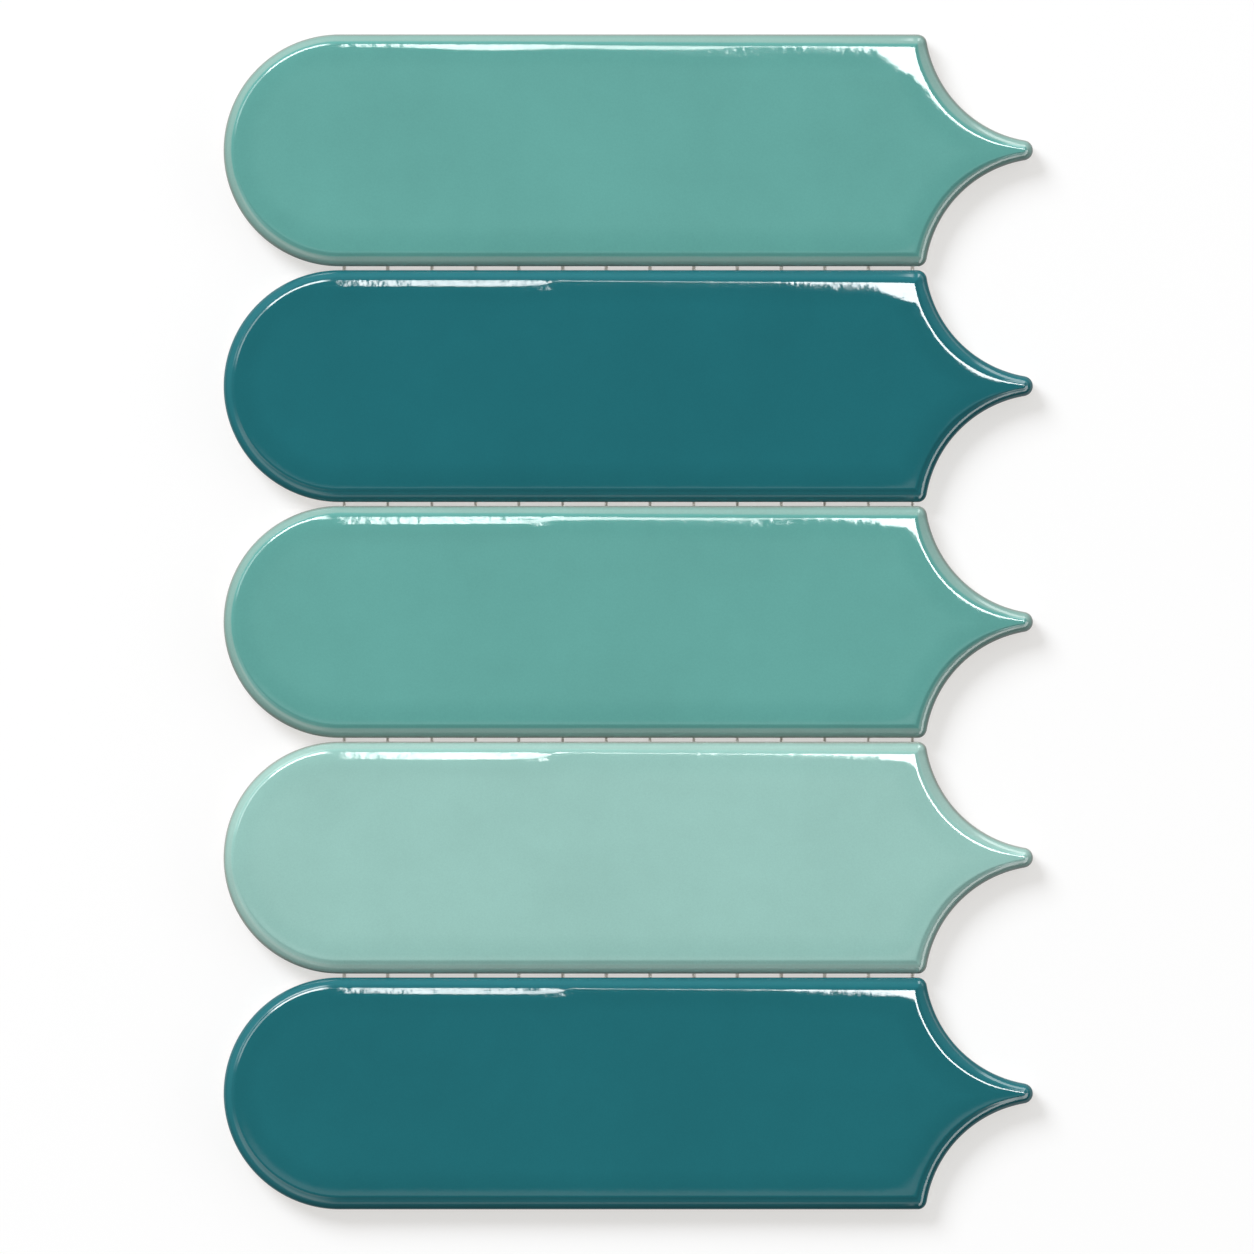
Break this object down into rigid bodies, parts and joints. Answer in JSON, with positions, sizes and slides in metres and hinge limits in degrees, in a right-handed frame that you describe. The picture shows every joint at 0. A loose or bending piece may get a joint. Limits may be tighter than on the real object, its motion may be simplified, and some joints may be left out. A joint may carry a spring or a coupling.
{
  "type": "feather mosaic tile sheet",
  "caption": "Mesh-backed mosaic sheet of long glazed feather tiles, side by side, each with a half-round end, straight sides and a concave pointed tip, for wall cladding.",
  "frame": {"origin": "centre of the sheet's back, on the underside of the mesh backing", "axes": "+X runs along the tiles towards their pointed tips, +Y runs up the column of tiles to tile 1, +Z points out of the glazed faces"},
  "size_m": [0.185, 0.2686, 0.0069],
  "materials": {
    "glaze_sea_green": "gloss",
    "glaze_deep_teal": "gloss",
    "glaze_pale_aqua": "gloss",
    "fibreglass_mesh": "matte"
  },
  "bodies": {
    "root": {"feather_tile_1": "glaze_sea_green", "feather_tile_2": "glaze_deep_teal", "feather_tile_3": "glaze_sea_green", "feather_tile_4": "glaze_pale_aqua", "feather_tile_5": "glaze_deep_teal", "mesh_backing": "fibreglass_mesh"}
  },
  "joints": []
}
